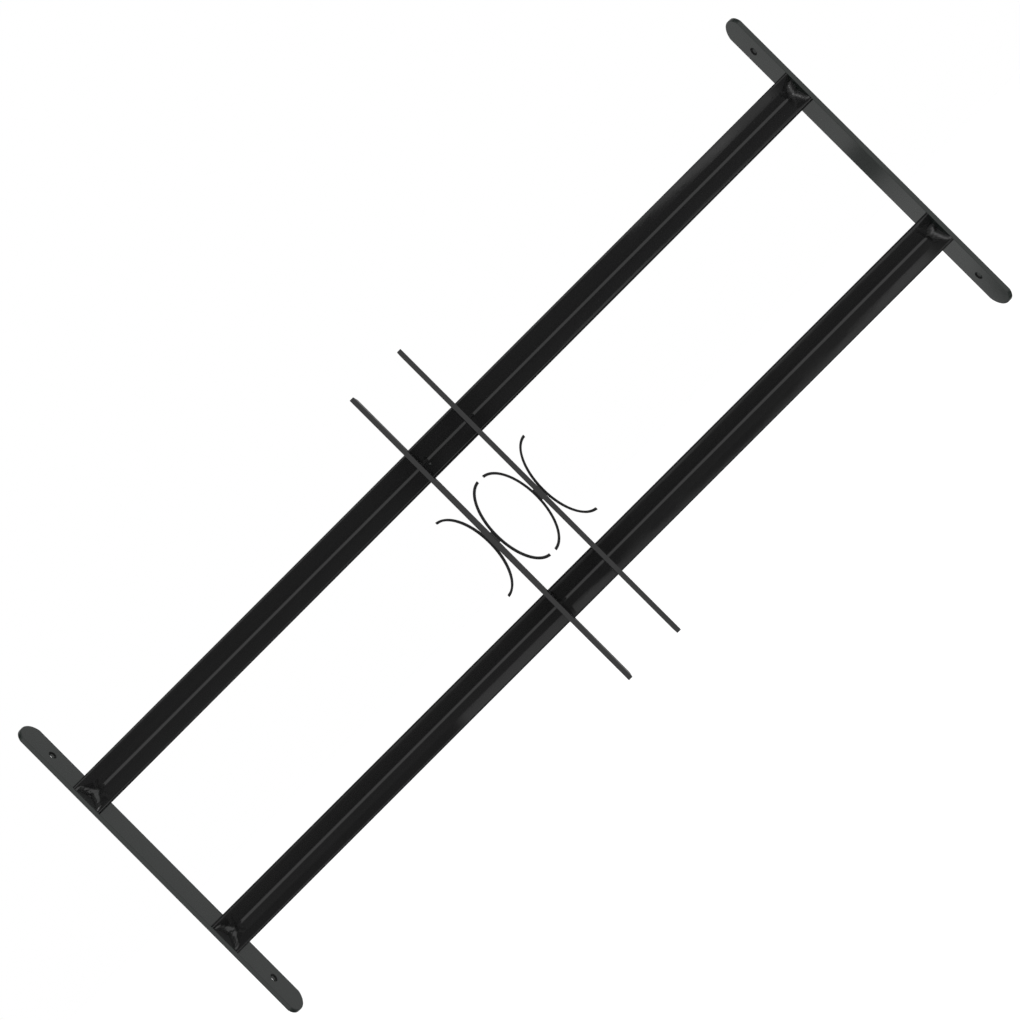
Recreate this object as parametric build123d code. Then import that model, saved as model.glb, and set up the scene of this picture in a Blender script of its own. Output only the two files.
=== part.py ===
# Extending window grille in black coated steel.
# Two welded halves, each an end plate, two V-section crossbars, one upright and two scrolls.
# The right half's crossbars lie inside the left half's and slide along them.
# Millimetres. X runs along the crossbars, Z up, and the room side faces -Y.
# The origin is midway between the left plate's screw holes, on the face that meets the wall.
import os
from math import cos, radians, sin
from build123d import *

# Overall
extended_width = 650.0       # outer face to outer face, fully drawn out

# End plates
left_plate_height = 257.7
right_plate_height = 255.1
plate_depth = 20.0
plate_thickness = 3.0
plate_end_crown = 7.2        # height of the arc that rounds each end
plate_edge_radius = 0.5
hole_diameter = 5.7
hole_spacing = 204.5
hole_setback = 10.0          # front edge of the plate to the screw holes

# Crossbars: folded V sections, open to the room side
angle_leg = 16.5             # outer face, corner to tip
angle_thickness = 2.1
angle_opening = 98.0         # degrees between the legs
angle_root_radius = 1.8
angle_tip_radius = 0.4
crossbar_pitch = 125.9
crossbar_rise = 1.8          # the pair sits this far above the middle of the plates
nest_gap = 0.9               # between the legs of nested crossbars

# Uprights: flat strips on edge across the crossbars
upright_thickness = 3.2
upright_depth = 15.0
upright_height = 244.5
upright_edge_radius = 0.4
upright_spacing = 41.8       # centre to centre when fully drawn out
upright_offset = 2.6         # the pair stands this far right of the middle
keeper_gap = 2.0             # between the right upright and the crossbars that slide behind it
crossbar_inset = 0.5         # a crossbar's end stops this short of its upright's far side

# Scrolls: thin strips bent to half ellipses, their backs welded to the uprights
scroll_height = 63.9         # tip to tip, along the middle of the strip
scroll_reach = 16.0          # back to the middle of the ellipse
scroll_tip_cut = 0.6         # the tips stop this short of the middle of the ellipse
scroll_strip = 1.6
scroll_depth = 7.0
scroll_inset = 4.0           # an upright's front edge to the front edges of its scrolls
scroll_drop = 1.2            # the scrolls' middle sits this far below the plates' middle
left_inner_scroll_gap = 1.0   # between a scroll's back and its upright's side
right_inner_scroll_gap = 0.55
outer_scroll_gap = 0.1

# Welds and lugs
plate_weld_radius = 2.4
root_weld_radius = 4.0
left_root_weld_length = 8.0
right_root_weld_length = 3.5
tip_weld_size = 1.6
lug_thickness = 1.7
lug_width = 2.4
lug_clearance = 0.4          # between a lug and the crossbar that slides past it
lug_grip = 3.0               # how far a lug reaches down the outside of its leg
scroll_weld_height = 8.5
scroll_weld_depth = 5.0

half_opening = radians(angle_opening / 2)
leg_run = angle_leg * cos(half_opening)
leg_rise = angle_leg * sin(half_opening)
tip_run = angle_thickness * sin(half_opening)
tip_rise = angle_thickness * cos(half_opening)
nest_shift = (angle_thickness + nest_gap) / sin(half_opening)

left_front = -hole_setback
right_front = left_front - nest_shift
upper_z = crossbar_rise + crossbar_pitch / 2
lower_z = crossbar_rise - crossbar_pitch / 2

left_upright_x = extended_width / 2 + upright_offset - upright_spacing / 2
right_upright_x = extended_width / 2 + upright_offset + upright_spacing / 2
left_upright_back = right_front
right_upright_back = right_front - keeper_gap
scroll_recess = upright_depth - scroll_inset - scroll_depth

left_inner_face = plate_thickness
right_inner_face = extended_width - plate_thickness


def prism(points, x_start, x_end):
    """A prism along X from a closed outline of (y, z) points."""
    outline = Polyline(*[(x_start, y, z) for y, z in points], close=True)
    return extrude(make_face(outline), amount=x_end - x_start, dir=(1, 0, 0))


def long_edges_near(solid, places):
    """The edges along X that lie nearest to the given (y, z) places."""
    along = solid.edges().filter_by(Axis.X)
    return [min(along, key=lambda e: (e.center().Y - y) ** 2 + (e.center().Z - z) ** 2) for y, z in places]


def end_plate(x_outer, front, height, side):
    """A flat bar on edge with crowned ends and two screw holes; side is +1 on the left, -1 on the right."""
    x_near, x_far = sorted((x_outer, x_outer + side * plate_thickness))
    back = front + plate_depth
    middle = front + plate_depth / 2
    top = height / 2
    shoulder = top - plate_end_crown
    outline = Curve() + [
        Line((x_near, front, -shoulder), (x_near, front, shoulder)),
        ThreePointArc((x_near, front, shoulder), (x_near, middle, top), (x_near, back, shoulder)),
        Line((x_near, back, shoulder), (x_near, back, -shoulder)),
        ThreePointArc((x_near, back, -shoulder), (x_near, middle, -top), (x_near, front, -shoulder)),
    ]
    plate = extrude(make_face(outline), amount=plate_thickness, dir=(1, 0, 0))
    rims = plate.faces().sort_by(Axis.X)
    plate = fillet(rims[0].edges() + rims[-1].edges(), min(plate_edge_radius, 0.4 * plate_thickness))
    for z in (-hole_spacing / 2, hole_spacing / 2):
        middle_of_hole = Location(((x_near + x_far) / 2, front + hole_setback, z), (0, 90, 0))
        plate -= middle_of_hole * Cylinder(hole_diameter / 2, 2 * plate_thickness)
    return plate


def angle_bar(x_start, x_end, front, z_mid):
    """A V section with its tips at front, its corner behind and a rounded root inside."""
    corner = front + leg_run + tip_run
    tip = corner - leg_run
    root = corner - angle_thickness / sin(half_opening)
    bar = prism(
        [
            (corner, z_mid),
            (tip, z_mid + leg_rise),
            (front, z_mid + leg_rise - tip_rise),
            (root, z_mid),
            (front, z_mid - leg_rise + tip_rise),
            (tip, z_mid - leg_rise),
        ],
        x_start,
        x_end,
    )
    bar = fillet(long_edges_near(bar, [(root, z_mid)]), angle_root_radius)
    tips = [(y, z_mid + sign * z) for sign in (-1, 1)
            for y, z in ((tip, leg_rise), (front, leg_rise - tip_rise))]
    return fillet(long_edges_near(bar, tips), min(angle_tip_radius, 0.4 * angle_thickness))


def upright(x_mid, back):
    """A flat strip standing on edge, its back edge towards the crossbars."""
    strip = Pos(x_mid, back - upright_depth / 2, 0) * Box(upright_thickness, upright_depth, upright_height)
    return fillet(strip.edges(), min(upright_edge_radius, 0.4 * upright_thickness))


def scroll(x_back, back, side):
    """A half ellipse of strip; x_back is the middle of its back, side is the way its tips point."""
    half = scroll_height / 2
    t = scroll_strip / 2
    ring = Ellipse(scroll_reach + t, half + t) - Ellipse(scroll_reach - t, half - t)
    back_half = Pos(-side * (scroll_reach + scroll_tip_cut), 0) * Rectangle(2 * scroll_reach, 3 * half)
    middle = Location((x_back + side * scroll_reach, back, -scroll_drop), (90, 0, 0))
    return extrude(middle * (ring & back_half), amount=scroll_depth, dir=(0, -1, 0))


def plate_weld(x_face, front, z_mid, length, side):
    """The bead inside a crossbar's V where it meets an end plate, thicker at the root."""
    root = front + leg_run + tip_run - angle_thickness / sin(half_opening)
    mouth = leg_rise - tip_rise
    x_low, x_high = sorted((x_face, x_face + side * length))
    cavity = prism([(root, z_mid), (front, z_mid + mouth), (front, z_mid - mouth)], x_low, x_high)
    cavity = fillet(long_edges_near(cavity, [(root, z_mid)]), angle_root_radius)
    bead = Location(((x_low + x_high) / 2, root, z_mid), (0, 90, 0)) * Cylinder(root_weld_radius, length)
    for sign in (-1, 1):
        leg_middle = Location(
            (x_face, (root + front) / 2, z_mid + sign * mouth / 2),
            (sign * (90 - angle_opening / 2), 0, 0),
        )
        bead += leg_middle * Cylinder(plate_weld_radius, angle_leg)
    return bead & cavity


def tip_weld(x_mid, front, z_mid, sign):
    """The fillet of weld between a leg's end and the back edge of the upright that lies on it."""
    tip = front + tip_run
    edge = z_mid + sign * (leg_rise - tip_rise)
    outer = z_mid + sign * leg_rise
    return prism(
        [(front, edge), (tip, outer), (tip, outer + sign * tip_weld_size / 4), (front, outer + sign * tip_weld_size)],
        x_mid - upright_thickness / 2 + crossbar_inset,
        x_mid + upright_thickness / 2 - crossbar_inset,
    )


def keeper_lug(x_mid, z_mid, sign):
    """A lug from the outside of a left crossbar's leg, past the sliding crossbar, to the right upright."""
    tip = left_front + tip_run
    outer = z_mid + sign * leg_rise
    inside = outer + sign * lug_clearance
    outside = inside + sign * lug_thickness
    foot_y = tip + lug_grip * cos(half_opening)
    foot_z = outer - sign * lug_grip * sin(half_opening)
    return prism(
        [
            (right_upright_back, inside),
            (right_upright_back, outside),
            (tip, outside),
            (foot_y, outer),
            (foot_y, foot_z),
            (tip, outer),
            (tip - lug_clearance, inside),
        ],
        x_mid - lug_width / 2,
        x_mid + lug_width / 2,
    )


def scroll_weld(x_upright, side, gap, back, strip):
    """The short run of weld that fills the gap between an upright's side and a scroll's back."""
    x_near = x_upright + side * upright_thickness / 2
    x_far = x_near + side * (gap + scroll_strip / 2)
    middle = Pos((x_near + x_far) / 2, back - scroll_depth / 2, -scroll_drop)
    block = middle * Box(abs(x_far - x_near), scroll_weld_depth, scroll_weld_height)
    return block - strip


def scroll_back(x_upright, side, gap):
    """Where the middle of a scroll's back stands beside its upright."""
    return x_upright + side * (upright_thickness / 2 + gap + scroll_strip / 2)


parts = {
    "left_end_plate": end_plate(0, left_front, left_plate_height, 1),
    "right_end_plate": end_plate(extended_width, right_front, right_plate_height, -1),
    "left_upright": upright(left_upright_x, left_upright_back),
    "right_upright": upright(right_upright_x, right_upright_back),
}

for level, z_mid in (("upper", upper_z), ("lower", lower_z)):
    left_end = right_upright_x + upright_thickness / 2 - crossbar_inset
    right_end = left_upright_x - upright_thickness / 2 + crossbar_inset
    parts[f"left_{level}_crossbar"] = angle_bar(left_inner_face, left_end, left_front, z_mid)
    parts[f"right_{level}_crossbar"] = angle_bar(right_end, right_inner_face, right_front, z_mid)
    parts[f"left_{level}_plate_weld"] = plate_weld(
        left_inner_face, left_front, z_mid, left_root_weld_length, 1)
    parts[f"right_{level}_plate_weld"] = plate_weld(
        right_inner_face, right_front, z_mid, right_root_weld_length, -1)
    for edge, sign in (("top", 1), ("bottom", -1)):
        parts[f"left_upright_{level}_{edge}_weld"] = tip_weld(left_upright_x, right_front, z_mid, sign)
        parts[f"right_upright_{level}_{edge}_lug"] = keeper_lug(right_upright_x, z_mid, sign)

for name, x_upright, back, inward, inner_gap in (
    ("left", left_upright_x, left_upright_back - scroll_recess, 1, left_inner_scroll_gap),
    ("right", right_upright_x, right_upright_back - scroll_recess, -1, right_inner_scroll_gap),
):
    for place, side, gap in (("inner", inward, inner_gap), ("outer", -inward, outer_scroll_gap)):
        strip = scroll(scroll_back(x_upright, side, gap), back, side)
        parts[f"{name}_{place}_scroll"] = strip
        parts[f"{name}_{place}_scroll_weld"] = scroll_weld(x_upright, side, gap, back, strip)

os.makedirs("parts", exist_ok=True)
for node, shape in parts.items():
    export_step(shape, f"parts/{node}.step")
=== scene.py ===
"""An extending window grille in glossy black paint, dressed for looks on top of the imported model."""
import math
import random
from functools import partial

import bmesh
import bpy
from mathutils import Matrix, Vector, noise


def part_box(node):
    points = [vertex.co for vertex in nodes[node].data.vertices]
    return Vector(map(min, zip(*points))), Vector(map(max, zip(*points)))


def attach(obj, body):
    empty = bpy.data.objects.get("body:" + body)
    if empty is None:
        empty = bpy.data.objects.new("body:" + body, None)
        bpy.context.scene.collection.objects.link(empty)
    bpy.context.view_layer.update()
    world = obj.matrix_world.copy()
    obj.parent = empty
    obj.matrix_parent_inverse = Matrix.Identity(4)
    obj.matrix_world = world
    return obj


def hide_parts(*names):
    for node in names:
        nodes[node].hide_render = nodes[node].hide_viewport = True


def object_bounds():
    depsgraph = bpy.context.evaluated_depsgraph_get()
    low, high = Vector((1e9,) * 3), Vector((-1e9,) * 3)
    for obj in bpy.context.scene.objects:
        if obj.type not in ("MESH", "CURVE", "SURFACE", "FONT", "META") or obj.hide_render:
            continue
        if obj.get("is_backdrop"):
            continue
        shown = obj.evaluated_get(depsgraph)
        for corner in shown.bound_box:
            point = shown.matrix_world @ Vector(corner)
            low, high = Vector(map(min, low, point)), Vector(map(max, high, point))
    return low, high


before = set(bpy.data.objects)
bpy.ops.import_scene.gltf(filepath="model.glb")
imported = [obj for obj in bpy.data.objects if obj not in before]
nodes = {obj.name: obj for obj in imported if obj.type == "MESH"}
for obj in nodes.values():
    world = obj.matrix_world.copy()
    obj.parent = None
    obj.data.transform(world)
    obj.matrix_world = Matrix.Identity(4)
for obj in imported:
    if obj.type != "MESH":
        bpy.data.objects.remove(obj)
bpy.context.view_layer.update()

mm = 0.001


# Helpers for materials and shaders
def socket(group, name, kind, way, value=None):
    made = group.interface.new_socket(name=name, in_out=way, socket_type=kind)
    if value is not None:
        made.default_value = value
    return made


def place(tree, kind, **settings):
    node = tree.nodes.new(kind)
    for name, value in settings.items():
        setattr(node, name, value)
    return node


def feed(tree, target, value):
    """Give an input a plain number, or link it to another node's output."""
    if isinstance(value, (int, float)):
        target.default_value = value
    else:
        tree.links.new(value, target)


def maths(tree, operation, *values):
    """One maths node of a tree, fed with numbers or outputs."""
    node = place(tree, "ShaderNodeMath", operation=operation)
    for target, value in zip(node.inputs, values):
        feed(tree, target, value)
    return node.outputs[0]


# The skin of the black paints: how fine its ripple, nibs and patches are
ripple_fineness = 420.0
nib_fineness = 260.0
patch_fineness = 38.0
nib_core = 0.02
nib_rim = 0.16
patch_ends = (0.3, 0.7)


def orange_peel():
    """The skin of sprayed paint: a soft ripple, and tiny nibs and pits where powder bunched."""
    group = bpy.data.node_groups.new("orange_peel", "ShaderNodeTree")
    socket(group, "Ripple", "NodeSocketFloat", "INPUT", 1.0)
    socket(group, "Nibs", "NodeSocketFloat", "INPUT", 1.0)
    socket(group, "Height", "NodeSocketFloat", "OUTPUT")
    socket(group, "Patches", "NodeSocketFloat", "OUTPUT")
    link = group.links.new
    given = place(group, "NodeGroupInput")
    result = place(group, "NodeGroupOutput")
    where = place(group, "ShaderNodeTexCoord")
    ripple = place(group, "ShaderNodeTexNoise")
    ripple.inputs["Scale"].default_value = ripple_fineness
    ripple.inputs["Detail"].default_value = 1.5
    link(where.outputs["Object"], ripple.inputs["Vector"])
    nibs = place(group, "ShaderNodeTexVoronoi", feature="SMOOTH_F1")
    nibs.inputs["Scale"].default_value = nib_fineness
    link(where.outputs["Object"], nibs.inputs["Vector"])
    nib_shape = place(group, "ShaderNodeMapRange", interpolation_type="SMOOTHSTEP")
    nib_shape.inputs["From Min"].default_value = nib_core
    nib_shape.inputs["From Max"].default_value = nib_rim
    nib_shape.inputs["To Min"].default_value = 1.0
    nib_shape.inputs["To Max"].default_value = 0.0
    link(nibs.outputs["Distance"], nib_shape.inputs["Value"])
    ripple_part = maths(group, "MULTIPLY", ripple.outputs["Fac"], given.outputs["Ripple"])
    nib_part = maths(group, "MULTIPLY", nib_shape.outputs["Result"], given.outputs["Nibs"])
    link(maths(group, "ADD", ripple_part, nib_part), result.inputs["Height"])
    patches = place(group, "ShaderNodeTexNoise")
    patches.inputs["Scale"].default_value = patch_fineness
    patches.inputs["Detail"].default_value = 3.0
    link(where.outputs["Object"], patches.inputs["Vector"])
    link(patches.outputs["Fac"], result.inputs["Patches"])
    return group


peel = orange_peel()


def black_paint(name, colours, roughness, depth, ripple=1.0, nibs=0.3, shine=0.5):
    """Black paint. colours and roughness each give the two ends of what its patches run between.

    depth is how deep its skin is worked, in metres, and shine how strongly it mirrors.
    """
    material = bpy.data.materials.new(name)
    material.use_nodes = True
    tree = material.node_tree
    link = tree.links.new
    shader = tree.nodes["Principled BSDF"]
    shader.inputs["IOR"].default_value = 1.5
    shader.inputs["Specular IOR Level"].default_value = shine
    skin = place(tree, "ShaderNodeGroup", node_tree=peel)
    skin.inputs["Ripple"].default_value = ripple
    skin.inputs["Nibs"].default_value = nibs
    tint = place(tree, "ShaderNodeMix", data_type="RGBA")
    tint.inputs["A"].default_value = (*colours[0], 1.0)
    tint.inputs["B"].default_value = (*colours[1], 1.0)
    link(skin.outputs["Patches"], tint.inputs["Factor"])
    link(tint.outputs["Result"], shader.inputs["Base Color"])
    gloss = place(tree, "ShaderNodeMapRange")
    gloss.inputs["From Min"].default_value = patch_ends[0]
    gloss.inputs["From Max"].default_value = patch_ends[1]
    gloss.inputs["To Min"].default_value = roughness[0]
    gloss.inputs["To Max"].default_value = roughness[1]
    link(skin.outputs["Patches"], gloss.inputs["Value"])
    link(gloss.outputs["Result"], shader.inputs["Roughness"])
    bump = place(tree, "ShaderNodeBump")
    bump.inputs["Strength"].default_value = 1.0
    bump.inputs["Distance"].default_value = depth
    link(skin.outputs["Height"], bump.inputs["Height"])
    link(bump.outputs["Normal"], shader.inputs["Normal"])
    return material


crossbar_paint = black_paint(
    "crossbar_paint", ((0.0100, 0.0100, 0.0102), (0.0125, 0.0125, 0.0125)), (0.03, 0.06), 0.002 * mm,
    nibs=0.8,
)
plate_paint = black_paint(
    "plate_paint", ((0.0115, 0.0148, 0.0132), (0.0145, 0.0180, 0.0162)), (0.06, 0.10), 0.006 * mm,
    nibs=0.35,
)
strip_paint = black_paint(
    "strip_paint", ((0.0085, 0.0085, 0.0087), (0.0110, 0.0110, 0.0112)), (0.08, 0.16), 0.006 * mm
)
scroll_paint = black_paint(
    "scroll_paint", ((0.0080, 0.0080, 0.0082), (0.0105, 0.0105, 0.0108)), (0.35, 0.50), 0.008 * mm,
    shine=0.15,
)
# The weld paints are lighter than the crossbar paint: painted sheen, giving the welds the grey of their
# reflections
weld_sheen_paint = black_paint(
    "weld_sheen_paint", ((0.0170, 0.0175, 0.0173), (0.0230, 0.0232, 0.0230)), (0.10, 0.20), 0.008 * mm,
    ripple=1.2, nibs=0.8,
)
dull_weld_sheen_paint = black_paint(
    "dull_weld_sheen_paint", ((0.0300, 0.0300, 0.0300), (0.0380, 0.0380, 0.0380)), (0.22, 0.34), 0.006 * mm,
    ripple=1.2, nibs=0.6,
)
# Dark dull paint for painted shade, where the V's root loses its reflection beside the beads and the
# uprights
painted_shade_paint = black_paint(
    "painted_shade_paint", ((0.0080, 0.0080, 0.0082), (0.0105, 0.0105, 0.0107)), (0.45, 0.55), 0.002 * mm,
    ripple=1.2, shine=0.15,
)
# Pale matte paint for painted reflection on the left plate inside the crossbars' V's
painted_reflection_paint = black_paint(
    "painted_reflection_paint", ((0.0270, 0.0275, 0.0275), (0.0330, 0.0335, 0.0335)), (0.5, 0.7), 0.010 * mm,
    nibs=0.5,
)

# The shade inside the rims of the plates' fixing holes
bore_height = 102.25 * mm
bore_reach = 2.92 * mm
shade_depth = 1.4 * mm
shade_colour = (0.003, 0.003, 0.003, 1.0)


def shade_bores(material):
    """Darken and dull the end plates' paint just inside the rims of their fixing holes."""
    left_low, left_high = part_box("left_end_plate")
    right_low, right_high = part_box("right_end_plate")
    halfway = (left_high.x + right_low.x) / 2
    inner_face = (right_low.x - left_high.x) / 2
    left_depth = (left_low.y + left_high.y) / 2
    right_depth = (right_low.y + right_high.y) / 2
    tree = material.node_tree
    link = tree.links.new
    worked = partial(maths, tree)
    shader = tree.nodes["Principled BSDF"]
    where = place(tree, "ShaderNodeTexCoord")
    spot = place(tree, "ShaderNodeSeparateXYZ")
    link(where.outputs["Object"], spot.inputs[0])
    on_right = worked("GREATER_THAN", spot.outputs["X"], halfway)
    bore_depth = worked("ADD", worked("MULTIPLY", on_right, right_depth - left_depth), left_depth)
    off_depth = worked("SUBTRACT", spot.outputs["Y"], bore_depth)
    off_height = worked("SUBTRACT", worked("ABSOLUTE", spot.outputs["Z"]), bore_height)
    squares = [worked("MULTIPLY", off, off) for off in (off_depth, off_height)]
    near_bore = worked("LESS_THAN", worked("SQRT", worked("ADD", *squares)), bore_reach)
    from_middle = worked("ABSOLUTE", worked("SUBTRACT", spot.outputs["X"], halfway))
    below_face = worked("ABSOLUTE", worked("SUBTRACT", from_middle, inner_face))
    inside = worked("MULTIPLY", near_bore, worked("LESS_THAN", below_face, shade_depth))
    shaded = place(tree, "ShaderNodeMix", data_type="RGBA")
    shaded.inputs["B"].default_value = shade_colour
    link(shader.inputs["Base Color"].links[0].from_socket, shaded.inputs["A"])
    link(inside, shaded.inputs["Factor"])
    link(shaded.outputs["Result"], shader.inputs["Base Color"])
    gloss = shader.inputs["Roughness"].links[0].from_socket
    link(worked("MAXIMUM", gloss, inside), shader.inputs["Roughness"])


shade_bores(plate_paint)

for name, part in nodes.items():
    if name.endswith("crossbar"):
        paint = crossbar_paint
    elif name.endswith("end_plate"):
        paint = plate_paint
    elif name.startswith("left_upright_"):
        paint = crossbar_paint
    elif name.endswith(("weld", "lug")):
        paint = weld_sheen_paint
    elif name.endswith("scroll"):
        paint = scroll_paint
        part.visible_glossy = False
    else:
        paint = strip_paint
    part.data.materials.clear()
    part.data.materials.append(paint)

# The V of a crossbar: half its opening, its wall measured up and down, and how round its root is
half_opening = math.radians(49)
wall_across = 1.4 * mm
root_softness = 0.06

# A weld skin: its grid, where its crest lies between plate and toe, and how deep its back is sunk
rows_across = 96
rows_out = 30
crest = 0.62
sunk = 0.3 * mm

# How a weld fades at both ends, how its toe wanders, and how much it leans forward out of the V
fade_rate = 14
toe_at_ends = 0.55
rise_at_ends = 0.35
toe_wander = 0.16
wander_pitch = 5.5
forward_lean = 0.9

# How fine the lumps on the welds are
coarse_lumps = 330
fine_lumps = 900
run_lumps = 420
run_voxel = 0.28 * mm

film_thickness = 0.06 * mm
film_share = 0.97


def lumpy_bead(name, blobs, seed, lumps, paint):
    """Overlapping blobs of (centre, radius) melted into one lumpy skin, with an uneven face: a weld
    spatter, or a dark lump of painted shade.
    """
    mesh = bpy.data.meshes.new(name)
    form = bmesh.new()
    for centre, radius in blobs:
        ball = bmesh.ops.create_icosphere(form, subdivisions=3, radius=radius)
        bmesh.ops.translate(form, verts=ball["verts"], vec=centre)
    form.to_mesh(mesh)
    form.free()
    bead = bpy.data.objects.new(name, mesh)
    bpy.context.scene.collection.objects.link(bead)
    skin = bead.modifiers.new("skin", "REMESH")
    skin.mode = "VOXEL"
    skin.voxel_size = run_voxel
    ease = bead.modifiers.new("ease", "SMOOTH")
    ease.iterations = 6
    view = bpy.context.evaluated_depsgraph_get()
    made = bpy.data.meshes.new_from_object(bead.evaluated_get(view))
    bead.modifiers.clear()
    bead.data = made
    bpy.data.meshes.remove(mesh)
    for vertex in made.vertices:
        wave = noise.noise(vertex.co * run_lumps + Vector((seed, 0, 0)))
        vertex.co += vertex.normal * wave * lumps * mm
    made.shade_smooth()
    made.materials.append(paint)
    return bead


def v_shape(crossbar, side):
    """Where the plate's face, middle, mouth, root and depth of a crossbar's V lie."""
    low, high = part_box(crossbar)
    mouth = (high.z - low.z) / 2 - wall_across
    depth = mouth / math.tan(half_opening)
    return low.x if side == "left" else high.x, (low.z + high.z) / 2, mouth, low.y + depth, depth


def weld_swell(u, shelf):
    """How high a weld stands, from the plate (u is 0) over its crest to its toe (u is 1)."""
    if u < crest:
        ramp = u / crest
        return shelf + (1 - shelf) * ramp * ramp * (3 - 2 * ramp)
    return math.sqrt(max(0.0, 1 - ((u - crest) / (1 - crest)) ** 2))


def weld_skin(name, crossbar, side, paint, seed, span, toes, rises, spread, shelf, lumps):
    """A skin across a V beside its end plate: a weld bead, or a thin dark patch of painted shade.

    span is where it starts and stops (-1 and 1 are the V's tips), toes how far it reaches from the
    plate at the legs and at the root, rises how far it stands up there, in mm. spread is how wide the
    swelling at the root is, and shelf how high the weld starts at the plate, as a share of its rise.
    """
    plate_x, middle, mouth, root, depth = v_shape(crossbar, side)
    inward = 1 if side == "left" else -1
    grid = []
    for i in range(rows_across + 1):
        t = span[0] + (span[1] - span[0]) * i / rows_across
        hump = math.exp(-((t / spread) ** 2))
        ends = min(1.0, fade_rate * (t - span[0]), fade_rate * (span[1] - t))
        wander = 1 + toe_wander * noise.noise(Vector((t * wander_pitch, seed, 0)))
        toe = (toes[0] + (toes[1] - toes[0]) * hump) * wander * (toe_at_ends + (1 - toe_at_ends) * ends)
        rise_here = (rises[0] + (rises[1] - rises[0]) * hump) * (rise_at_ends + (1 - rise_at_ends) * ends)
        soft = math.hypot(t, root_softness)
        base = Vector((plate_x, root - depth * soft, middle + mouth * t))
        lean_in = Vector((0, -mouth, -depth * t / soft)).normalized()
        stand = (lean_in + Vector((0, -forward_lean, 0))).normalized()
        row = []
        for j in range(rows_out + 1):
            u = j / rows_out
            spot = base + Vector((inward * u * toe * mm, 0, 0))
            coarse = noise.noise(spot * coarse_lumps + Vector((seed, 0, 0)))
            fine = noise.noise(spot * fine_lumps + Vector((0, seed, 0)))
            swell = weld_swell(u, shelf) * (rise_here * (1 + lumps * (coarse + 0.5 * fine)))
            row.append((spot + stand * swell * mm, spot - lean_in * sunk))
        grid.append(row)
    mesh = bpy.data.meshes.new(name)
    form = bmesh.new()
    top, bottom = [[[form.verts.new(pair[layer]) for pair in row] for row in grid] for layer in (0, 1)]
    for rows in (top, bottom):
        for i in range(rows_across):
            for j in range(rows_out):
                form.faces.new((rows[i][j], rows[i + 1][j], rows[i + 1][j + 1], rows[i][j + 1]))
    for i in range(rows_across):
        for j in (0, rows_out):
            form.faces.new((top[i][j], top[i + 1][j], bottom[i + 1][j], bottom[i][j]))
    for j in range(rows_out):
        for i in (0, rows_across):
            form.faces.new((top[i][j], top[i][j + 1], bottom[i][j + 1], bottom[i][j]))
    bmesh.ops.recalc_face_normals(form, faces=form.faces)
    form.to_mesh(mesh)
    form.free()
    mesh.shade_smooth()
    mesh.materials.append(paint)
    skin = bpy.data.objects.new(name, mesh)
    bpy.context.scene.collection.objects.link(skin)
    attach(skin, f"{side}_half")
    return skin


def film_inside_v(name, crossbar):
    """A thin pale matte film on the left end plate inside a V: painted reflection, lifting the plate
    there to the grey it shows.
    """
    plate_x, middle, mouth, root, depth = v_shape(crossbar, "left")
    tip = root - film_share * depth
    corners = ((root, 0.0), (tip, film_share * mouth), (tip, -film_share * mouth))
    mesh = bpy.data.meshes.new(name)
    points = [(plate_x + x, y, middle + z) for x in (0.0, film_thickness) for y, z in corners]
    mesh.from_pydata(points, [], [(0, 1, 2), (5, 4, 3), (0, 3, 4, 1), (1, 4, 5, 2), (2, 5, 3, 0)])
    mesh.materials.append(painted_reflection_paint)
    film = bpy.data.objects.new(name, mesh)
    bpy.context.scene.collection.objects.link(film)
    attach(film, "left_half")


def bead_form(span, toes, rises, spread, shelf, lumps):
    return {"span": span, "toes": toes, "rises": rises, "spread": spread, "shelf": shelf, "lumps": lumps}


bead_forms = {
    ("left", "upper"): bead_form((-0.93, 0.93), (4.3, 6.9), (1.0, 2.9), 0.34, 0.80, 0.30),
    ("left", "lower"): bead_form((-0.90, 0.88), (4.3, 6.8), (1.0, 2.8), 0.36, 0.80, 0.30),
    ("right", "upper"): bead_form((-0.92, 0.62), (3.2, 5.6), (1.6, 4.5), 0.42, 0.66, 0.12),
    ("right", "lower"): bead_form((-0.96, 0.42), (3.1, 5.8), (1.5, 4.8), 0.46, 0.62, 0.12),
}
bead_paints = {"left": weld_sheen_paint, "right": dull_weld_sheen_paint}
shade_patch_reaches = {"left": 11.5, "right": 6.5}
seed_step = 3.7
first_bead_seed = 1.3
first_shade_patch_seed = 9.1
for number, ((side, level), form) in enumerate(bead_forms.items()):
    crossbar = f"{side}_{level}_crossbar"
    bead_seed = seed_step * number + first_bead_seed
    bead = weld_skin(f"{side}_{level}_plate_bead", crossbar, side, bead_paints[side], bead_seed, **form)
    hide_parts(f"{side}_{level}_plate_weld")
    if side == "left":
        film_inside_v(f"left_{level}_film", crossbar)
    # A thin dark dull patch by each bead along the root: painted shade where the bead blocks the root's
    # reflection
    shade_patch = bead_form((-0.40, 0.30), (2.0, shade_patch_reaches[side]), (0.03, 0.08), 0.20, 0.42, 0.1)
    shade_patch_seed = seed_step * number + first_shade_patch_seed
    weld_skin(f"{side}_{level}_scorch", crossbar, side, painted_shade_paint, shade_patch_seed, **shade_patch)

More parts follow.
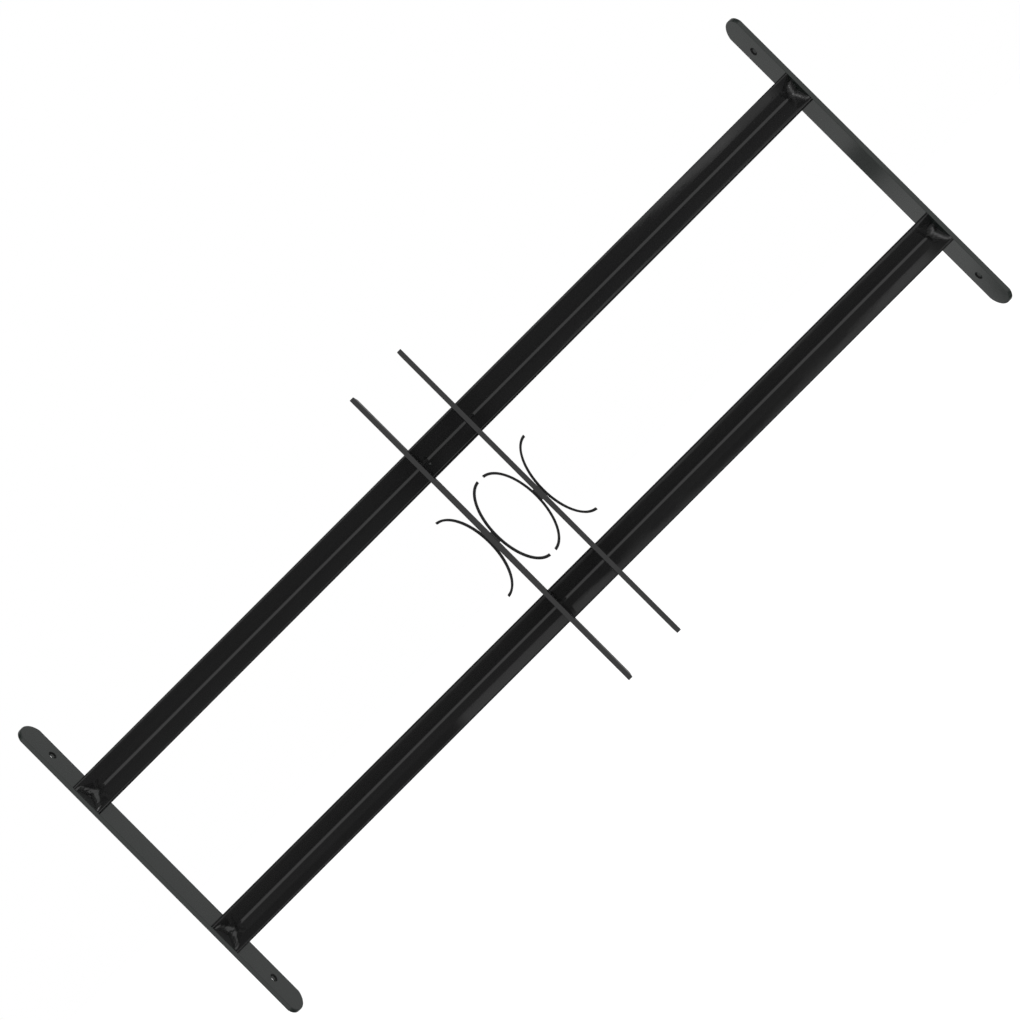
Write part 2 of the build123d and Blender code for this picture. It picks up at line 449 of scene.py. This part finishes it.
# Dark dull lumps in the roots beside the uprights, as (place along the grille, half length) in metres:
# painted shade where the uprights block the root's reflection
left_shade_run = (309.8 * mm, 2.2 * mm)
right_shade_run = (352.2 * mm, 1.2 * mm)
shade_lump_radius = 1.0 * mm
shade_lump_blobs = 9
shade_lump_sinks = (0.1 * mm, 0.4 * mm)
shade_lump_unevenness = 0.08
random.seed(7)
for level, runs in (("upper", (left_shade_run, right_shade_run)), ("lower", (left_shade_run,))):
    plate_x, middle, mouth, root, depth = v_shape(f"right_{level}_crossbar", "right")
    for number, (x, half_length) in enumerate(runs):
        blobs = []
        for step in range(shade_lump_blobs):
            along = x + half_length * (2 * step / (shade_lump_blobs - 1) - 1)
            blobs.append((Vector((along, root - random.uniform(*shade_lump_sinks), middle)), shade_lump_radius))
        shade_lump = lumpy_bead(f"root_shade_lump_{level}_{number}", blobs, x * 900, shade_lump_unevenness, painted_shade_paint)
        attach(shade_lump, "right_half")

# One bead of spatter beside the left upright, on the lower leg of the upper V
spatter_x = 311.9 * mm
spatter_depth = 6.6 * mm
spatter_drop = 3.2 * mm
low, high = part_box("right_upper_crossbar")
spot = Vector((spatter_x, low.y + spatter_depth, (low.z + high.z) / 2 - spatter_drop))
second_spot = spot + Vector((0.5, 0.4, 0.3)) * mm
spatter = lumpy_bead("weld_spatter", [(spot, 1.15 * mm), (second_spot, 0.8 * mm)], 3.0, 0.05, weld_sheen_paint)
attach(spatter, "right_half")

# The studio: a white backdrop, even room light, and a tent of pale and dark panels for the glossy paint
world = bpy.data.worlds.new("studio")
bpy.context.scene.world = world
world.use_nodes = True
sky = world.node_tree
white = (1, 1, 1, 1)
room = sky.nodes["Background"]
room.inputs["Color"].default_value = white
room.inputs["Strength"].default_value = 0.75
backdrop = place(sky, "ShaderNodeBackground")
backdrop.inputs["Color"].default_value = white
backdrop.inputs["Strength"].default_value = 1.0
tent = place(sky, "ShaderNodeBackground")
tent.inputs["Color"].default_value = white


worked = partial(maths, sky)
times = partial(worked, "MULTIPLY")
plus = partial(worked, "ADD")
minus = partial(worked, "SUBTRACT")
crisp_edge = 0.0012
panel_edge = 0.03
lamp_rim = 0.988
lamp_core = 0.996


def rise(value, low, high):
    """0 below low, 1 above high, smooth between."""
    node = place(sky, "ShaderNodeMapRange", interpolation_type="SMOOTHSTEP")
    node.inputs["From Min"].default_value = low
    node.inputs["From Max"].default_value = high
    sky.links.new(value, node.inputs["Value"])
    return node.outputs["Result"]


def between(value, low, high, edge):
    """1 between low and high, 0 outside, with soft edges."""
    return minus(rise(value, low - edge, low + edge), rise(value, high - edge, high + edge))


def under(value, limit):
    """1 where value is below limit, 0 above, with a crisp but soft edge."""
    return rise(minus(limit, value), -crisp_edge, crisp_edge)


def blend_to(first, second, share):
    node = place(sky, "ShaderNodeMix", data_type="FLOAT")
    for name, value in (("A", first), ("B", second), ("Factor", share)):
        feed(sky, node.inputs[name], value)
    return node.outputs["Result"]


def panel(start, stop, softness, deep_end, near_end, level):
    """A panel overhead or below, by its slopes: from start to stop along X, and from deep_end to near_end
    in depth, where near_end may be a curve.
    """
    deep = times(rise(slope_y, deep_end - panel_edge, deep_end + panel_edge), under(slope_y, near_end))
    return times(times(between(slope_x, start, stop, softness), deep), level)


def lamp(direction, level):
    """A small bright lamp far off, seen only in curved paint."""
    length = math.hypot(*direction)
    parts = [times(way, value / length) for way, value in zip((way_x, way_y, way_z), direction)]
    facing = plus(plus(parts[0], parts[1]), parts[2])
    return times(rise(facing, lamp_rim, lamp_core), level)


# A direction's slopes say where it meets a level panel overhead or below
aim = place(sky, "ShaderNodeTexCoord")
split = place(sky, "ShaderNodeSeparateXYZ")
sky.links.new(aim.outputs["Generated"], split.inputs[0])
way_x, way_y, way_z = split.outputs
steepness = worked("ABSOLUTE", way_z)
downward = times(way_z, -1.0)
leftward = times(way_x, -1.0)
slope_x = worked("DIVIDE", way_x, worked("MAXIMUM", steepness, 0.05))
slope_y = worked("DIVIDE", way_y, worked("MAXIMUM", steepness, 0.05))


def round_wall():
    """The wall all round: pale in front, darker behind, with a seam and a dim corner on the left."""
    level = blend_to(0.90, 0.48, rise(way_y, -0.35, 0.45))
    level = blend_to(level, 0.06, rise(way_y, 0.95, 0.995))
    seam = minus(1.0, rise(steepness, 0.010, 0.030))
    turn = worked("DIVIDE", way_y, worked("MAXIMUM", worked("ABSOLUTE", way_x), 0.05))
    corner = times(rise(downward, 0.13, 0.18), minus(1.0, rise(turn, 1.880, 1.925)))
    shade = plus(times(rise(downward, 0.03, 0.06), 0.20), 1.12)
    shade = minus(minus(shade, times(seam, 0.67)), times(corner, 1.08))
    on_left = times(rise(leftward, 0.30, 0.36), rise(way_y, 0.75, 0.82))
    return blend_to(level, times(level, shade), on_left)


def overhead_panels():
    """Two pale panels over the grille, for the lower legs, and a dimmer stretch behind it."""
    off_middle = minus(slope_x, 0.205)
    bow = worked("MINIMUM", plus(times(times(off_middle, off_middle), 0.16), -0.2705), -0.2575)
    tab = plus(times(between(slope_x, 0.18, 0.285, 0.04), 0.0035), -0.0473)
    wide = panel(start=-0.23, stop=0.519, softness=0.012, deep_end=-1.05, near_end=bow, level=0.62)
    narrow = panel(start=0.15, stop=0.525, softness=0.015, deep_end=-0.18, near_end=tab, level=0.60)
    level = plus(plus(wide, 0.04), narrow)
    return worked("MAXIMUM", level, times(rise(slope_y, 0.10, 0.22), 0.30))


def panels_below():
    """Two pale panels under the grille, for the upper legs."""
    slant = plus(times(rise(slope_x, 0.30, 0.46), 0.0092), -0.2758)
    shade = minus(0.88, times(rise(slope_x, 0.435, 0.480), 0.40))
    tabs = plus(between(slope_x, 0.115, 0.18, 0.02), between(slope_x, 0.435, 0.53, 0.02))
    tabs = plus(times(tabs, 0.0030), -0.0535)
    wide = panel(start=0.30, stop=0.524, softness=0.012, deep_end=-1.25, near_end=slant, level=1.0)
    narrow = panel(start=-0.30, stop=0.60, softness=0.03, deep_end=-0.12, near_end=tabs, level=0.55)
    return plus(plus(times(wide, shade), 0.10), narrow)


tent_level = blend_to(round_wall(), overhead_panels(), rise(way_z, 0.62, 0.86))
tent_level = blend_to(tent_level, panels_below(), rise(downward, 0.62, 0.86))
for lamp_direction in ((-0.75, -0.42, -0.5), (-0.72, -0.48, 0.5)):
    tent_level = plus(tent_level, lamp(lamp_direction, level=6.0))
sky.links.new(tent_level, tent.inputs["Strength"])
rays = place(sky, "ShaderNodeLightPath")
shiny = place(sky, "ShaderNodeMixShader")
plain = place(sky, "ShaderNodeMixShader")
sky.links.new(rays.outputs["Is Glossy Ray"], shiny.inputs["Fac"])
sky.links.new(room.outputs[0], shiny.inputs[1])
sky.links.new(tent.outputs[0], shiny.inputs[2])
seen_straight = worked("MAXIMUM", rays.outputs["Is Camera Ray"], rays.outputs["Is Transmission Ray"])
sky.links.new(seen_straight, plain.inputs["Fac"])
sky.links.new(shiny.outputs[0], plain.inputs[1])
sky.links.new(backdrop.outputs[0], plain.inputs[2])
sky.links.new(plain.outputs[0], sky.nodes["World Output"].inputs["Surface"])

# The pale floor
grille_middle = 0.325
floor_half_width = 12
floor_drop = 0.6
floor_lift = 0.35
floor_mesh = bpy.data.meshes.new("floor")
floor_form = bmesh.new()
bmesh.ops.create_grid(floor_form, x_segments=1, y_segments=1, size=floor_half_width)
floor_form.to_mesh(floor_mesh)
floor_form.free()
floor = bpy.data.objects.new("floor", floor_mesh)
bpy.context.scene.collection.objects.link(floor)
floor.location = (grille_middle, 0, -floor_drop)
floor.visible_glossy = False
floor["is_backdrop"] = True
floor_paint = bpy.data.materials.new("floor_paint")
floor_paint.use_nodes = True
ground = floor_paint.node_tree
floor_shader = ground.nodes["Principled BSDF"]
floor_shader.inputs["Base Color"].default_value = (0.9, 0.9, 0.9, 1)
floor_shader.inputs["Roughness"].default_value = 1.0
floor_shader.inputs["Emission Color"].default_value = white
floor_rays = place(ground, "ShaderNodeLightPath")
glow = maths(ground, "MULTIPLY", floor_rays.outputs["Is Camera Ray"], floor_lift)
ground.links.new(glow, floor_shader.inputs["Emission Strength"])
floor_mesh.materials.append(floor_paint)


# The soft lights
def soft_light(name, stand, width, power):
    """A square soft light that stands off the grille and looks at its middle."""
    light = bpy.data.lights.new(name, "AREA")
    light.shape = "SQUARE"
    light.size = width
    light.energy = power
    holder = bpy.data.objects.new(name, light)
    bpy.context.scene.collection.objects.link(holder)
    holder.location = stand
    look = Vector((grille_middle, 0, 0)) - Vector(stand)
    holder.rotation_euler = look.to_track_quat("-Z", "Y").to_euler()
    holder.visible_glossy = False


soft_light("key_light", stand=(-0.4, -1.6, 1.7), width=1.2, power=14)
soft_light("fill_light", stand=(1.5, -1.8, 0.6), width=1.5, power=8)

# The camera, rolled so that the grille runs from corner to corner
picture_pixels = 1020
focal_pixels = 907
shift_pixels = (12.59, 9.17)
film_width = 36
eye = Vector((339.52, -589.51, 0.235)) * mm
lean = math.radians(0.25)
lens = bpy.data.cameras.new("camera")
lens.sensor_width = film_width
lens.lens = focal_pixels * film_width / picture_pixels
lens.shift_x = -shift_pixels[0] / picture_pixels
lens.shift_y = -shift_pixels[1] / picture_pixels
lens.clip_start = 0.01
lens.clip_end = 100
camera = bpy.data.objects.new("camera", lens)
bpy.context.scene.collection.objects.link(camera)
ahead = Vector((-lean, 1, lean)).normalized()
along = Vector((1, lean, 0))
along = (along - ahead * along.dot(ahead)).normalized()
down = ahead.cross(along)
right = (along + down).normalized()
up = (along - down).normalized()
camera.matrix_world = Matrix.Translation(eye) @ Matrix((right, up, -ahead)).transposed().to_4x4()
bpy.context.scene.camera = camera
bpy.context.scene.view_settings.view_transform = "Standard"

low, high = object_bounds()
